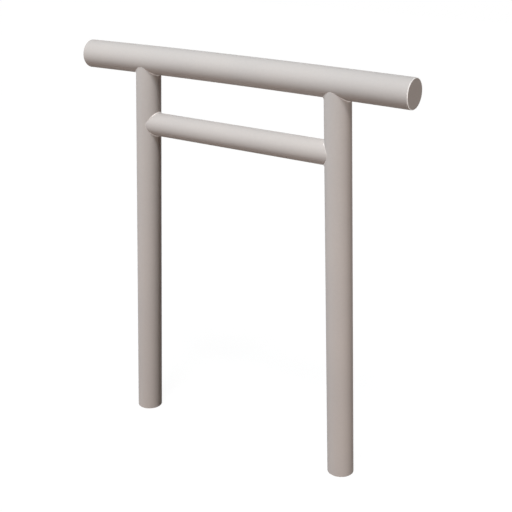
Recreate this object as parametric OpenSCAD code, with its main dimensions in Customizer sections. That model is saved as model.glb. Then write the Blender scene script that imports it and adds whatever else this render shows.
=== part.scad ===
// Torii gate of round steel tube: two tapered posts that lean in towards each other, a cambered
// top beam laid across them and a straight tie beam between them, all coped, welded and painted.
// Millimetres, +Z up, +X from the left post to the right post, -Y towards the front.
// The origin is on the ground, at the centre of the left post's foot.

/* [Posts] */
// Outer diameter of a post at its foot
post_d = 244; // [160:0.5:320]
// Loss of a post's diameter from its foot up to the top beam's axis
post_taper = 8.5; // [0:0.5:30]
// Wall of the post tube
post_wall = 8; // [4:0.5:14]
// Distance between the post axes at their feet
foot_spacing = 2320; // [1800:1:3000]
// Lean of each post towards the middle of the gate, in degrees
post_lean = 2.21; // [0:0.01:3]

/* [Top beam] */
// Extra diameter of the top beam's tube over the tops of the posts
beam_over = 26; // [14:0.5:100]
// Wall of the top beam's tube
beam_wall = 8; // [4:0.5:14]
// Length of the top beam over its end plates
beam_length = 3462; // [2700:1:3650]
// Height of the top beam's axis above the ground at the middle of the gate
beam_height = 3625; // [3300:1:4400]
// Rise of the top beam's middle above its ends
beam_camber = 11.5; // [11:0.5:40]

/* [Tie beam] */
// How much less than the tops of the posts the tie beam's tube has in diameter
tie_under = 18.5; // [12:0.5:80]
// Wall of the tie beam's tube
tie_wall = 6; // [3:0.5:12]
// Distance from the top beam's axis down to the tie beam's axis
tie_drop = 605; // [320:1:1400]

/* [Ends and welds] */
// Thickness of the plates that close the top beam's ends
end_cap_t = 14; // [8:0.5:24]
// Thickness of the plates that close the feet of the posts
foot_cap_t = 14; // [8:0.5:24]
// Radius of the rounded rim on every closing plate, as far as the plate's thickness allows
rim_r = 10; // [2:0.5:20]
// Leg of the fillet welds where the tubes meet
weld_leg = 10; // [5:0.5:14]
// Rise of a weld's face above the straight line between its two edges
weld_crown = 1.5; // [0.5:0.1:3]

/* [Hidden] */
// Number of facets round a weld
weld_steps = 72;
// Gap between a weld's facets and the tubes that they lie on
weld_seat = 0.3;
// Length by which a cutting shape runs past what it cuts
over = 20;
$fn = 128;

post_r = post_d / 2;
post_top_r = post_r - post_taper / 2;
beam_r = post_top_r + beam_over / 2;
tie_r = post_top_r - tie_under / 2;
mid_x = foot_spacing / 2;
// Height of the tie beam's axis above the ground
tie_height = beam_height - tie_drop;

// Length of a post's axis up to the top beam's axis, and the loss of radius per unit of height
post_run = (beam_height - foot_cap_t) / cos(post_lean);
post_slope = (post_r - post_top_r) / (beam_height - foot_cap_t);

// Radius of the circle that the top beam's axis follows, and the height of its centre
arc_r = (pow(beam_length / 2, 2) + pow(beam_camber, 2)) / (2 * beam_camber);
arc_z = beam_height - arc_r;
// Half the angle that the top beam takes up, over its caps and over its tube alone
beam_half = asin(beam_length / 2 / arc_r);
tube_half = beam_half - end_cap_t / arc_r * 180 / PI;
// Angle along the top beam at which the right post meets it, and half the width of that joint
cope_angle = asin((mid_x - post_run * sin(post_lean)) / arc_r);
cope_half = asin((post_top_r + over) / arc_r);

paint = [0.75, 0.71, 0.69];
bead_paint = [0.78, 0.74, 0.72];

// Distance of a post's axis from the middle of the gate at height z
function axis_offset(z) = mid_x - (z - foot_cap_t) * tan(post_lean);

// Radius of a post at height z
function post_r_at(z) = post_r - (z - foot_cap_t) * post_slope;

// Where a line along the right post, at angle a round it and r from its axis, meets the underside
// of a tube of radius tube_r on the top beam's axis. The line starts at the foot and leans in.
function under_beam(a, r, tube_r) =
    let (
        x = mid_x + r * cos(a) * cos(post_lean),
        y = r * sin(a),
        z = foot_cap_t + r * cos(a) * sin(post_lean),
        reach = arc_r - sqrt(tube_r * tube_r - y * y),
        dx = -sin(post_lean),
        dz = cos(post_lean),
        b = x * dx + (z - arc_z) * dz,
        c = x * x + pow(z - arc_z, 2) - reach * reach,
        t = -b + sqrt(b * b - c)
    )
    [x + t * dx, y, z + t * dz];

// Where a line along the tie beam, at angle a round it and r from its axis, meets the inner side
// of the right post, grown by grow.
function beside_post(a, r, grow) =
    let (y = r * sin(a), z = tie_height + r * cos(a), wall_r = post_r_at(z) + grow)
    [axis_offset(z) - sqrt(wall_r * wall_r - y * y) / cos(post_lean), y, z];

// How far out from a branch tube of radius r its weld reaches, at angle a round it, so that the
// weld's leg is the same along the curved wall of a main tube of radius tube_r.
function weld_reach(a, r, tube_r) =
    let (slope = r * pow(sin(a), 2) / sqrt(tube_r * tube_r - pow(r * sin(a), 2)))
    weld_leg / sqrt(1 + slope * slope);

// Lays a shape drawn for the right-hand half, with X from the middle of the gate, on one side.
module on_side(side) {
    translate([mid_x, 0, 0]) mirror([side < 0 ? 1 : 0, 0, 0]) children();
}

// A tapered round bar on the right post's axis, from below the foot to the top beam's axis. Its
// wall stands out from the post's by grow.
module post_line(grow) {
    translate([mid_x, 0, foot_cap_t]) rotate([0, -post_lean, 0]) translate([0, 0, -over])
        cylinder(r1 = post_r_at(foot_cap_t - over) + grow, r2 = post_top_r + grow, h = post_run + over);
}

// A round bar on the top beam's axis, from half an angle before to half after the angle middle,
// measured from the gate's middle. It is swept with a ring at each end and one between them.
module beam_line(r, half, middle = 0) {
    translate([0, 0, arc_z]) rotate([90, 0, 0]) rotate([0, 0, 90 - middle - half])
        rotate_extrude(angle = 2 * half, $fn = 270 / half)
            translate([arc_r, 0]) circle(r = r, $fn = 128);
}

// A round plate lying on Z = 0, with its top rim rounded.
module closing_plate(r, t) {
    rim = min(rim_r, t - 1);
    rotate_extrude() {
        square([r - rim, t]);
        square([r, t - rim]);
        translate([r - rim, t - rim]) intersection() {
            circle(r = rim);
            square(rim);
        }
    }
}

module post(side) {
    color(paint) on_side(side) difference() {
        post_line(0);
        post_line(-post_wall);
        beam_line(beam_r, cope_half, cope_angle);
        translate([mid_x - post_d, -post_d, foot_cap_t - 2 * post_d])
            cube([2 * post_d, 2 * post_d, 2 * post_d]);
    }
}

module top_beam() {
    color(paint) translate([mid_x, 0, 0]) difference() {
        beam_line(beam_r, tube_half);
        beam_line(beam_r - beam_wall, beam_half);
    }
}

module tie_beam() {
    reach = axis_offset(tie_height);
    color(paint) translate([mid_x, 0, 0]) difference() {
        translate([-reach, 0, tie_height]) rotate([0, 90, 0]) cylinder(r = tie_r, h = 2 * reach);
        translate([-reach - over, 0, tie_height]) rotate([0, 90, 0])
            cylinder(r = tie_r - tie_wall, h = 2 * (reach + over));
        post_line(0);
        mirror([1, 0, 0]) post_line(0);
    }
}

module end_cap(side) {
    color(paint) on_side(side) translate([0, 0, arc_z]) rotate([0, tube_half, 0])
        translate([0, 0, arc_r]) rotate([0, 90, 0]) closing_plate(beam_r, end_cap_t);
}

module foot_cap(side) {
    color(paint) on_side(side) translate([mid_x, 0, foot_cap_t])
        mirror([0, 0, 1]) closing_plate(post_r, foot_cap_t);
}

// A closed ring of triangles through the rows of points in rings, each row one section.
module ring_of(rings) {
    n = len(rings);
    m = len(rings[0]);
    polyhedron(
        points = [for (ring = rings, p = ring) p],
        faces = [
            for (i = [0 : n - 1], j = [0 : m - 1], k = [0, 1])
                let (
                    i2 = (i + 1) % n,
                    j2 = (j + 1) % m,
                    a = i * m + j,
                    b = i2 * m + j,
                    c = i2 * m + j2,
                    d = i * m + j2
                )
                k == 0 ? [a, b, c] : [a, c, d]
        ]
    );
}

// A weld's section: its root in the corner, an edge on each tube and a crown between the edges.
function weld_section(root, branch_edge, main_edge) =
    let (
        mid = (branch_edge + main_edge) / 2,
        out = (mid - root) / norm(mid - root)
    )
    [root, branch_edge, mid + weld_crown * out, main_edge];

module post_weld(side) {
    along = [-sin(post_lean), 0, cos(post_lean)];
    r = post_r_at(beam_height - 0.7 * beam_r) + weld_seat;
    main_r = beam_r + weld_seat;
    color(bead_paint) on_side(side) ring_of([
        for (i = [0 : weld_steps - 1])
            let (
                a = 360 * i / weld_steps,
                root = under_beam(a, r, main_r),
                wide = r + weld_reach(a, r, main_r)
            )
            weld_section(root, root - weld_leg * along, under_beam(a, wide, main_r))
    ]);
}

module tie_weld(side) {
    r = tie_r + weld_seat;
    main_r = post_r_at(tie_height) + weld_seat;
    color(bead_paint) on_side(side) ring_of([
        for (i = [0 : weld_steps - 1])
            let (
                a = 360 * i / weld_steps,
                root = beside_post(a, r, weld_seat),
                wide = r + weld_reach(a, r, main_r)
            )
            weld_section(root, root - [weld_leg, 0, 0], beside_post(a, wide, weld_seat))
    ]);
}

post(-1);  // left_post
post(1);  // right_post
top_beam();
tie_beam();
end_cap(-1);  // left_end_cap
end_cap(1);  // right_end_cap
foot_cap(-1);  // left_foot_cap
foot_cap(1);  // right_foot_cap
post_weld(-1);  // left_post_weld
post_weld(1);  // right_post_weld
tie_weld(-1);  // left_tie_weld
tie_weld(1);  // right_tie_weld
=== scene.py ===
import math
from types import SimpleNamespace

import bpy
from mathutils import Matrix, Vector


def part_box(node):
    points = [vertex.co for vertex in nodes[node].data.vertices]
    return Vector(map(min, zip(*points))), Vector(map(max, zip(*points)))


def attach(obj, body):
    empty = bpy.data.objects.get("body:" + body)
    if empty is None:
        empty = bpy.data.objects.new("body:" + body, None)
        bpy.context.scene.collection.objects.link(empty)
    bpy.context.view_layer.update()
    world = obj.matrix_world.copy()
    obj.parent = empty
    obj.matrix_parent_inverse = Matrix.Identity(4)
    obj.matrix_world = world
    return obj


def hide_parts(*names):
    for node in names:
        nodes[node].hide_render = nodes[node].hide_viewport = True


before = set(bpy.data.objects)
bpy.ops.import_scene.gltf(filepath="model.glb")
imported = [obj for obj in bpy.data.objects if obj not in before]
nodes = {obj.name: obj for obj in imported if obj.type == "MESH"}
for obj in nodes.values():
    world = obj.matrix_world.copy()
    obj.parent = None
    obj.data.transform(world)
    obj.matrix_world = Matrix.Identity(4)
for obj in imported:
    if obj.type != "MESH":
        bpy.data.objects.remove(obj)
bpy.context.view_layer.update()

# Places on the gate, in metres, read from the solids
foot_low, foot_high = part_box("left_foot_cap")
right_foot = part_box("right_foot_cap")
end_low, end_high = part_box("right_end_cap")
foot_x = (foot_low.x + foot_high.x) / 2
gate_middle = (foot_low.x + right_foot[1].x) / 2
foot_reach = gate_middle - foot_x
foot_radius = (foot_high.x - foot_low.x) / 2
end_z = (end_low.z + end_high.z) / 2
end_radius = (end_high.y - end_low.y) / 2
weld_low, weld_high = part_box("left_post_weld")
beam_low, beam_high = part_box("top_beam")
tie_low, tie_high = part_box("tie_beam")
beam_z = beam_high.z - end_radius
camber = beam_z - end_z
end_reach = (end_low.x + end_high.x) / 2 - gate_middle
arc_radius = (end_reach ** 2 + camber ** 2) / (2 * camber)
tie_z = (tie_low.z + tie_high.z) / 2
tie_radius = (tie_high.z - tie_low.z) / 2
joint_x = (weld_low.x + weld_high.x) / 2
joint_z = beam_z - end_radius

# Run of the left post towards the middle for each metre of height, and its radius at the beam
lean = (joint_x - foot_x) / (joint_z - foot_high.z)
saddle = [v.co for v in nodes["left_post"].data.vertices if v.co.z > joint_z]
post_top_radius = max(point.y for point in saddle)

# Sides of the round tubes, stretches along the arched one, and how sharp an edge still shades smooth
TUBE_SIDES = 256
ARCH_STRETCHES = 32
SMOOTH_ANGLE = math.radians(30)
# How far a post's bar starts below the level cut at its foot
FOOT_RUN = 0.05

# The weld beads: full at a joint's sides, dressed flush where the tubes run into each other
BEAD_RADIUS = 0.0105
BEAD_FLUSH = 0.0012
FLUSH_SHARE = 0.3
BEAD_STEPS = 288
BEAD_ROUNDNESS = 3
BEAD_RIPPLE = 0.07
RIPPLE_STEPS = 4
MERGE_DISTANCE = 0.00001

# The paint, and what shows where it is rubbed thin
PAINT = (0.55, 0.49, 0.46, 1)
WELD_PAINT = (0.58, 0.52, 0.49, 1)
BARE_RIM = (0.82, 0.775, 0.75, 1)
RUBBED_WELD = (0.72, 0.66, 0.625, 1)
PAINT_SHEEN = 0.06
PAINT_ROUGHNESS = (0.44, 0.56)
ROUGHNESS_SPAN = (0.2, 0.8)

# A slow drift in the paint's tone and a fine mottle: size, range of the noise, and the tones
DRIFT_SCALE = 1.3
DRIFT_DETAIL = 2
DRIFT_SPAN = (0.3, 0.7)
DRIFT_TONES = ((0.97, 0.972, 0.978, 1), (1.025, 1.018, 1.012, 1))
MOTTLE_SCALE = 42
MOTTLE_DETAIL = 4
MOTTLE_GRAIN = 0.6
MOTTLE_SPAN = (0.25, 0.75)
MOTTLE_TONES = ((0.975, 0.975, 0.975, 1), (1.015, 1.015, 1.015, 1))

# Painted shade that darkens the paint towards the foot: its colour, its share from the foot up, its heights
# and how unevenly it ends
FOOT_SHADE = (0.27, 0.25, 0.24, 1)
FOOT_SHADE_SHARE = (0.12, 0)
FOOT_SHADE_HEIGHTS = (-0.15, 1.6)
FOOT_SHADE_SPLASH = 0.35

# Orange peel of the sprayed paint
PEEL_SCALE = 420
PEEL_DETAIL = 2
PEEL_STRENGTH = 0.12
PEEL_DEPTH = 0.0004

# How far the closing plates' rounded rims are rubbed bright, in from the edge, and how softly
RIM_WIDTH = 0.0068
RIM_FADE = 0.0015
RIM_RAGGED = (-0.0006, 0.0006)
RIM_RAGGED_SPAN = (0.3, 0.7)
RIM_METALLIC = 0.4
RIM_ROUGHNESS = 0.42

# How much of a bead is rubbed, and the finish it has there
BEAD_RUBBED = (0.55, 1)
BEAD_RUBBED_SPAN = (0.2, 0.6)
BEAD_METALLIC = 0.45
BEAD_ROUGHNESS = (0.45, 0.55)

# The camera stands to the right of the gate's front and looks down on it: turn and tilt in degrees
CAMERA_TURN = 35.02
CAMERA_TILT = 19.98
CAMERA_DISTANCE = 9.8046
CAMERA_LENS = 74.815
CAMERA_SENSOR = 36
CAMERA_AIM = Vector((1.3571, 0, 1.9322))

# The floor: white to the eye with a faint shadow, darker and warm in the light it throws back
FLOOR_SIZE = 60
FLOOR_DROP = 0.001
FLOOR_LIT = (0.14, 0.104, 0.077, 1)
FLOOR_ROUGHNESS = 0.9
FLOOR_SHADE = (0.07, 0.07, 0.07, 1)
FLOOR_GLOW = 0.96
LAMP_AIM = Vector((gate_middle, 0, 2.0))


def direction(turn, height):
    """The way from the gate to a place, turned right of its front and raised, in degrees."""
    turned = math.radians(turn)
    raised = math.radians(height)
    across = math.cos(raised)
    return Vector((math.sin(turned) * across, -math.cos(turned) * across, math.sin(raised)))


def facing(way):
    """The rotation of a camera or lamp that looks back along a way from the gate."""
    return (-way).to_track_quat("-Z", "Y").to_euler()


def place_camera():
    lens = bpy.data.cameras.new("camera")
    lens.lens = CAMERA_LENS
    lens.sensor_width = CAMERA_SENSOR
    camera = bpy.data.objects.new("camera", lens)
    bpy.context.scene.collection.objects.link(camera)
    back = direction(CAMERA_TURN, CAMERA_TILT)
    camera.location = CAMERA_AIM + CAMERA_DISTANCE * back
    camera.rotation_euler = facing(back)
    bpy.context.scene.camera = camera


def feed(tree, value, socket):
    """Links a value from another node to a socket, or sets a number or colour on it."""
    if isinstance(value, bpy.types.NodeSocket):
        tree.links.new(value, socket)
    else:
        socket.default_value = value


def noise(tree, place, scale, detail, roughness=0.5):
    cloud = tree.nodes.new("ShaderNodeTexNoise")
    cloud.inputs["Scale"].default_value = scale
    cloud.inputs["Detail"].default_value = detail
    cloud.inputs["Roughness"].default_value = roughness
    tree.links.new(place, cloud.inputs["Vector"])
    return cloud.outputs["Fac"]


def spread(tree, value, span, result, smooth=False):
    """Maps a value from one range to another and keeps it inside the second."""
    step = tree.nodes.new("ShaderNodeMapRange")
    step.interpolation_type = "SMOOTHSTEP" if smooth else "LINEAR"
    step.inputs["From Min"].default_value = span[0]
    step.inputs["From Max"].default_value = span[1]
    step.inputs["To Min"].default_value = result[0]
    step.inputs["To Max"].default_value = result[1]
    tree.links.new(value, step.inputs["Value"])
    return step.outputs["Result"]


def reckon(tree, operation, first, second):
    """Adds, subtracts or multiplies two values."""
    step = tree.nodes.new("ShaderNodeMath")
    step.operation = operation
    feed(tree, first, step.inputs[0])
    feed(tree, second, step.inputs[1])
    return step.outputs["Value"]


def shift(tree, operation, place, amount=None):
    """Works on a place, with an amount for each axis where the operation takes one."""
    step = tree.nodes.new("ShaderNodeVectorMath")
    step.operation = operation
    tree.links.new(place, step.inputs[0])
    if amount:
        step.inputs[1].default_value = amount
    return step.outputs["Vector"]


def tint(tree, factor, first, second, blend="MIX"):
    mix = tree.nodes.new("ShaderNodeMix")
    mix.data_type = "RGBA"
    mix.blend_type = blend
    feed(tree, factor, mix.inputs["Factor"])
    feed(tree, first, mix.inputs["A"])
    feed(tree, second, mix.inputs["B"])
    return mix.outputs["Result"]


def sprayed_paint(name, colour):
    """Satin paint with a slow drift in tone, a fine mottle, painted shade darkening it near the ground and
    orange peel.
    """
    material = bpy.data.materials.new(name)
    material.use_nodes = True
    tree = material.node_tree
    shader = tree.nodes["Principled BSDF"]
    place = tree.nodes.new("ShaderNodeTexCoord").outputs["Object"]
    drift = noise(tree, place, DRIFT_SCALE, DRIFT_DETAIL)
    mottle = noise(tree, place, MOTTLE_SCALE, MOTTLE_DETAIL, MOTTLE_GRAIN)
    tone = tint(tree, spread(tree, drift, DRIFT_SPAN, (0, 1)), *DRIFT_TONES)
    fine = tint(tree, spread(tree, mottle, MOTTLE_SPAN, (0, 1)), *MOTTLE_TONES)
    paint = tint(tree, 1.0, colour, tone, "MULTIPLY")
    paint = tint(tree, 1.0, paint, fine, "MULTIPLY")
    height = tree.nodes.new("ShaderNodeSeparateXYZ")
    tree.links.new(place, height.inputs["Vector"])
    # Painted shade: the paint is darkened towards the foot, with an uneven upper edge that follows the
    # mottle
    shade_unevenness = reckon(tree, "MULTIPLY", mottle, FOOT_SHADE_SPLASH)
    above = reckon(tree, "SUBTRACT", height.outputs["Z"], shade_unevenness)
    foot_shade = spread(tree, above, FOOT_SHADE_HEIGHTS, FOOT_SHADE_SHARE, smooth=True)
    paint = tint(tree, foot_shade, paint, FOOT_SHADE)
    tree.links.new(paint, shader.inputs["Base Color"])
    gloss = spread(tree, mottle, ROUGHNESS_SPAN, PAINT_ROUGHNESS)
    tree.links.new(gloss, shader.inputs["Roughness"])
    shader.inputs["Specular IOR Level"].default_value = PAINT_SHEEN
    peel = noise(tree, place, PEEL_SCALE, PEEL_DETAIL)
    bump = tree.nodes.new("ShaderNodeBump")
    bump.inputs["Strength"].default_value = PEEL_STRENGTH
    bump.inputs["Distance"].default_value = PEEL_DEPTH
    tree.links.new(peel, bump.inputs["Height"])
    tree.links.new(bump.outputs["Normal"], shader.inputs["Normal"])
    return SimpleNamespace(
        material=material, tree=tree, shader=shader, place=place, paint=paint, gloss=gloss, mottle=mottle)


def rub_rim(finish, place, radius):
    """Rubs the paint of a round plate through to bright metal along its rounded rim."""
    tree = finish.tree
    reach = tree.nodes.new("ShaderNodeVectorMath")
    reach.operation = "LENGTH"
    tree.links.new(place, reach.inputs[0])
    uneven = spread(tree, finish.mottle, RIM_RAGGED_SPAN, RIM_RAGGED)
    ragged = reckon(tree, "ADD", reach.outputs["Value"], uneven)
    rim = radius - RIM_WIDTH
    inner = spread(tree, ragged, (rim, rim + RIM_FADE), (0, 1), smooth=True)
    outer = spread(tree, ragged, (radius - RIM_FADE, radius), (1, 0), smooth=True)
    bare = reckon(tree, "MULTIPLY", inner, outer)
    tree.links.new(tint(tree, bare, finish.paint, BARE_RIM), finish.shader.inputs["Base Color"])
    tree.links.new(spread(tree, bare, (0, 1), (0, RIM_METALLIC)), finish.shader.inputs["Metallic"])
    polish = tree.nodes.new("ShaderNodeMix")
    tree.links.new(bare, polish.inputs["Factor"])
    tree.links.new(finish.gloss, polish.inputs["A"])
    polish.inputs["B"].default_value = RIM_ROUGHNESS
    tree.links.new(polish.outputs["Result"], finish.shader.inputs["Roughness"])


def end_plate_paint():
    """The paint of both end plates, whose rims lie round the beam's axis."""
    finish = sprayed_paint("end_plate_paint", PAINT)
    centred = shift(finish.tree, "SUBTRACT", finish.place, (0, 0, end_z))
    across = shift(finish.tree, "MULTIPLY", centred, (0, 1, 1))
    rub_rim(finish, across, end_radius)
    return finish.material


def foot_plate_paint():
    """The paint of both foot plates, which lie the same way from the middle of the gate."""
    finish = sprayed_paint("foot_plate_paint", PAINT)
    centred = shift(finish.tree, "SUBTRACT", finish.place, (gate_middle, 0, 0))
    either_side = shift(finish.tree, "ABSOLUTE", centred)
    from_foot = shift(finish.tree, "SUBTRACT", either_side, (foot_reach, 0, 0))
    level = shift(finish.tree, "MULTIPLY", from_foot, (1, 1, 0))
    rub_rim(finish, level, foot_radius)
    return finish.material


def bead_paint():
    """Weld paint that is rubbed thin in a mottle."""
    finish = sprayed_paint("weld_paint", WELD_PAINT)
    tree = finish.tree
    shader = finish.shader
    rubbed = spread(tree, finish.mottle, BEAD_RUBBED_SPAN, BEAD_RUBBED, smooth=True)
    tree.links.new(tint(tree, rubbed, finish.paint, RUBBED_WELD), shader.inputs["Base Color"])
    tree.links.new(spread(tree, rubbed, (0, 1), (0, BEAD_METALLIC)), shader.inputs["Metallic"])
    gloss = spread(tree, finish.mottle, ROUGHNESS_SPAN, BEAD_ROUGHNESS)
    tree.links.new(gloss, shader.inputs["Roughness"])
    return finish.material


def post_axis(z):
    """Where the left post's axis is along the gate at a height."""
    return foot_x + (z - foot_high.z) * lean


def post_radius(z):
    share = (z - foot_high.z) / (joint_z - foot_high.z)
    return foot_radius + share * (post_top_radius - foot_radius)


def under_beam(angle):
    """A point of the corner where the left post meets the underside of the top beam."""
    y = post_top_radius * math.sin(angle)
    sag = camber * ((joint_x - gate_middle) / (end_high.x - gate_middle)) ** 2
    z = beam_z - sag - math.sqrt(end_radius ** 2 - y ** 2)
    return Vector((post_axis(z) + post_top_radius * math.cos(angle), y, z))


def beside_post(angle):
    """A point of the corner where the tie beam meets the inner side of the left post."""
    y = tie_radius * math.sin(angle)
    z = tie_z + tie_radius * math.cos(angle)
    return Vector((post_axis(z) + math.sqrt(post_radius(z) ** 2 - y ** 2), y, z))


def pick(piece):
    """Selects one piece alone, for the operators that follow."""
    bpy.ops.object.select_all(action="DESELECT")
    piece.select_set(True)
    bpy.context.view_layer.objects.active = piece


def start_bar(radius, tip_radius, length, place, turn):
    """A round bar with a radius of its own at each end, from which a tube is shaped."""
    bpy.ops.object.select_all(action="DESELECT")
    bpy.ops.mesh.primitive_cone_add(
        vertices=TUBE_SIDES, radius1=radius, radius2=tip_radius, depth=length, location=place, rotation=turn)
    bar = bpy.context.active_object
    bpy.ops.object.transform_apply(location=True, rotation=True, scale=True)
    return bar


def cope(tube, mate):
    """Cuts the end of a tube to sit on its mate."""
    bpy.context.view_layer.objects.active = tube
    cut = tube.modifiers.new("cope", "BOOLEAN")
    cut.operation = "DIFFERENCE"
    cut.solver = "EXACT"
    cut.object = mate
    bpy.ops.object.modifier_apply(modifier=cut.name)


def roll_beam():
    """The top beam: a straight bar, divided along its length and rolled to the arch."""
    half_angle = math.asin((gate_middle - beam_low.x) / (arc_radius + end_radius))
    length = 2 * arc_radius * half_angle
    bar = start_bar(end_radius, end_radius, length, (gate_middle, 0, beam_z), (0, math.pi / 2, 0))
    bpy.ops.object.mode_set(mode="EDIT")
    bpy.ops.mesh.select_mode(type="EDGE")
    bpy.ops.mesh.select_all(action="DESELECT")
    bpy.ops.object.mode_set(mode="OBJECT")
    for edge in bar.data.edges:
        first, second = (bar.data.vertices[i].co for i in edge.vertices)
        edge.select = abs(first.x - second.x) > length / 2
    bpy.ops.object.mode_set(mode="EDIT")
    bpy.ops.mesh.subdivide(number_cuts=ARCH_STRETCHES - 1)
    bpy.ops.object.mode_set(mode="OBJECT")
    for vertex in bar.data.vertices:
        turn = (vertex.co.x - gate_middle) / arc_radius
        reach = arc_radius + vertex.co.z - beam_z
        vertex.co.x = gate_middle + reach * math.sin(turn)
        vertex.co.z = beam_z - arc_radius + reach * math.cos(turn)
    return bar


def raise_post(mirrored, beam):
    """A tapered post that leans in: a cone, cut level at the foot and coped to the beam."""
    low = foot_high.z - FOOT_RUN
    middle = (low + beam_z) / 2
    turn = math.atan(lean)
    length = (beam_z - low) / math.cos(turn)
    place = Vector((post_axis(middle), 0, middle))
    if mirrored:
        place.x = 2 * gate_middle - place.x
        turn = -turn
    post = start_bar(post_radius(low), post_radius(beam_z), length, place, (0, turn, 0))
    pick(post)
    bpy.ops.object.mode_set(mode="EDIT")
    bpy.ops.mesh.select_all(action="SELECT")
    bpy.ops.mesh.bisect(
        plane_co=(place.x, 0, foot_high.z), plane_no=(0, 0, 1), use_fill=True, clear_inner=True)
    bpy.ops.object.mode_set(mode="OBJECT")
    cope(post, beam)
    return post


def set_tie(posts):
    """The tie beam: a straight bar between the posts, coped to both."""
    length = 2 * (gate_middle - post_axis(tie_z))
    tie = start_bar(tie_radius, tie_radius, length, (gate_middle, 0, tie_z), (0, math.pi / 2, 0))
    for post in posts:
        cope(tie, post)
    return tie


def finish_tube(tube, name, node):
    """Smooths and paints a tube, which then stands for its node."""
    tube.name = name
    pick(tube)
    bpy.ops.object.shade_smooth_by_angle(angle=SMOOTH_ANGLE)
    tube.data.materials.clear()
    tube.data.materials.append(tubes)
    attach(tube, "root")
    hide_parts(node)


def lay_bead(name, corner, mirrored, node):
    """A rippled bead along a corner of the left post, or on the right one when mirrored."""
    line = bpy.data.curves.new(name, "CURVE")
    line.dimensions = "3D"
    # The bead's radius is set point by point
    line.bevel_depth = 1
    line.bevel_resolution = BEAD_ROUNDNESS
    run = line.splines.new("POLY")
    run.use_cyclic_u = True
    run.points.add(BEAD_STEPS - 1)
    for step, point in enumerate(run.points):
        angle = 2 * math.pi * step / BEAD_STEPS
        place = corner(angle)
        if mirrored:
            place.x = 2 * gate_middle - place.x
        fullness = max(0, math.cos(angle) ** 2 - FLUSH_SHARE) / (1 - FLUSH_SHARE)
        ripple = 1 + BEAD_RIPPLE * math.cos(2 * math.pi * step / RIPPLE_STEPS)
        point.co = (*place, 1)
        point.radius = BEAD_FLUSH + (BEAD_RADIUS - BEAD_FLUSH) * fullness * ripple
    bead = bpy.data.objects.new(name, line)
    bpy.context.scene.collection.objects.link(bead)
    pick(bead)
    bpy.ops.object.convert(target="MESH")
    bpy.ops.object.mode_set(mode="EDIT")
    bpy.ops.mesh.select_all(action="SELECT")
    bpy.ops.mesh.remove_doubles(threshold=MERGE_DISTANCE)
    bpy.ops.mesh.normals_make_consistent(inside=False)
    bpy.ops.object.mode_set(mode="OBJECT")
    bpy.ops.object.shade_smooth()
    bead.data.materials.clear()
    bead.data.materials.append(beads)
    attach(bead, "root")
    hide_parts(node)


def shown_rays(tree):
    """One on rays that show the surroundings: the camera's, and those off or through a surface."""
    path = tree.nodes.new("ShaderNodeLightPath")
    mirrored = reckon(tree, "ADD", path.outputs["Is Camera Ray"], path.outputs["Is Glossy Ray"])
    return reckon(tree, "ADD", mirrored, path.outputs["Is Transmission Ray"])


def show_instead(tree, lit, seen, output):
    """Gives light the first shader, and the rays that show the surroundings the second."""
    mix = tree.nodes.new("ShaderNodeMixShader")
    tree.links.new(shown_rays(tree), mix.inputs["Fac"])
    tree.links.new(lit, mix.inputs[1])
    tree.links.new(seen, mix.inputs[2])
    tree.links.new(mix.outputs["Shader"], tree.nodes[output].inputs["Surface"])


def lay_floor():
    bpy.ops.object.select_all(action="DESELECT")
    bpy.ops.mesh.primitive_plane_add(size=FLOOR_SIZE, location=(gate_middle, 0, -FLOOR_DROP))
    floor = bpy.context.active_object
    floor.name = "floor"
    material = bpy.data.materials.new("floor_white")
    material.use_nodes = True
    tree = material.node_tree
    lit = tree.nodes["Principled BSDF"]
    lit.inputs["Base Color"].default_value = FLOOR_LIT
    lit.inputs["Roughness"].default_value = FLOOR_ROUGHNESS
    faint = tree.nodes.new("ShaderNodeBsdfDiffuse")
    faint.inputs["Color"].default_value = FLOOR_SHADE
    glow = tree.nodes.new("ShaderNodeEmission")
    glow.inputs["Strength"].default_value = FLOOR_GLOW
    seen = tree.nodes.new("ShaderNodeAddShader")
    tree.links.new(faint.outputs["BSDF"], seen.inputs[0])
    tree.links.new(glow.outputs["Emission"], seen.inputs[1])
    show_instead(tree, lit.outputs["BSDF"], seen.outputs["Shader"], "Material Output")
    floor.data.materials.append(material)


def light_studio():
    """Surroundings that show white and give no light, which is left to the lamps."""
    world = bpy.data.worlds.new("studio")
    bpy.context.scene.world = world
    world.use_nodes = True
    tree = world.node_tree
    dark = tree.nodes["Background"]
    dark.inputs["Strength"].default_value = 0
    white = tree.nodes.new("ShaderNodeBackground")
    white.inputs["Color"].default_value = (1, 1, 1, 1)
    show_instead(tree, dark.outputs["Background"], white.outputs["Background"], "World Output")


def hang_sun(name, turn, height, strength, colour, width, glints=True):
    """A lamp of even light from one direction, as wide as given in degrees."""
    lamp = bpy.data.lights.new(name, "SUN")
    lamp.energy = strength
    lamp.color = colour
    lamp.angle = math.radians(width)
    sun = bpy.data.objects.new(name, lamp)
    sun.rotation_euler = facing(direction(turn, height))
    sun.visible_glossy = glints
    bpy.context.scene.collection.objects.link(sun)


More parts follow.
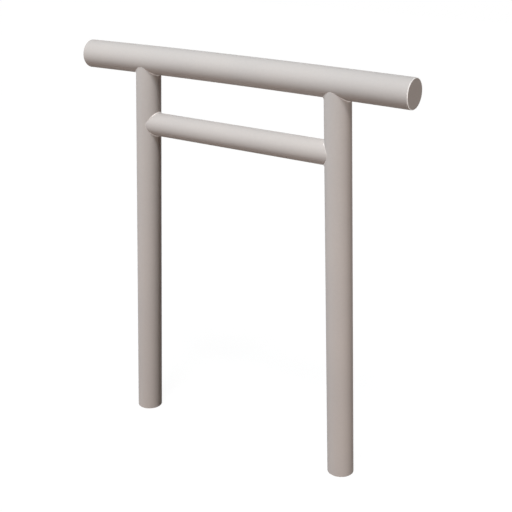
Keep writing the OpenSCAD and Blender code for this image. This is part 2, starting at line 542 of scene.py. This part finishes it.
def hang_softbox(name, turn, height, distance, strength, colour, width):
    """A round softbox, as wide as given in metres, that is as bright at the gate from any distance."""
    lamp = bpy.data.lights.new(name, "AREA")
    lamp.shape = "DISK"
    lamp.size = width
    lamp.color = colour
    lamp.energy = strength * math.pi ** 2 * distance ** 2
    box = bpy.data.objects.new(name, lamp)
    way = direction(turn, height)
    box.location = LAMP_AIM + distance * way
    box.rotation_euler = facing(way)
    box.visible_camera = False
    bpy.context.scene.collection.objects.link(box)


place_camera()
lay_floor()
light_studio()
hang_sun("key", turn=26, height=62, strength=1.46, colour=(1.0, 0.962, 0.944), width=12)
hang_softbox(
    "top_softbox", turn=0, height=60, distance=10, strength=0.408, colour=(0.68, 0.905, 1.0), width=3.0)
hang_sun("front_fill", turn=4, height=18, strength=1.205, colour=(1.0, 0.946, 0.933), width=20)
hang_sun("left_fill", turn=-70, height=18, strength=0.895, colour=(0.766, 0.895, 1.0), width=20)
hang_softbox(
    "right_fill", turn=90, height=0, distance=10, strength=0.137, colour=(1.0, 0.986, 0.957), width=1.4)
hang_sun("back_fill", turn=-140, height=5, strength=1.9, colour=(1.0, 0.97, 0.95), width=6, glints=False)

tubes = sprayed_paint("warm_grey_paint", PAINT).material
ends = end_plate_paint()
feet = foot_plate_paint()
beads = bead_paint()
for name, node in nodes.items():
    finish = tubes
    if name.endswith("end_cap"):
        finish = ends
    if name.endswith("foot_cap"):
        finish = feet
    if name.endswith("weld"):
        finish = beads
    node.data.materials.clear()
    node.data.materials.append(finish)

top_beam = roll_beam()
left_post = raise_post(False, top_beam)
right_post = raise_post(True, top_beam)
tie_beam = set_tie((left_post, right_post))
finish_tube(top_beam, "top_beam_tube", "top_beam")
finish_tube(left_post, "left_post_tube", "left_post")
finish_tube(right_post, "right_post_tube", "right_post")
finish_tube(tie_beam, "tie_beam_tube", "tie_beam")
lay_bead("left_post_bead", under_beam, False, "left_post_weld")
lay_bead("right_post_bead", under_beam, True, "right_post_weld")
lay_bead("left_tie_bead", beside_post, False, "left_tie_weld")
lay_bead("right_tie_bead", beside_post, True, "right_tie_weld")

bpy.context.scene.view_settings.view_transform = "Standard"
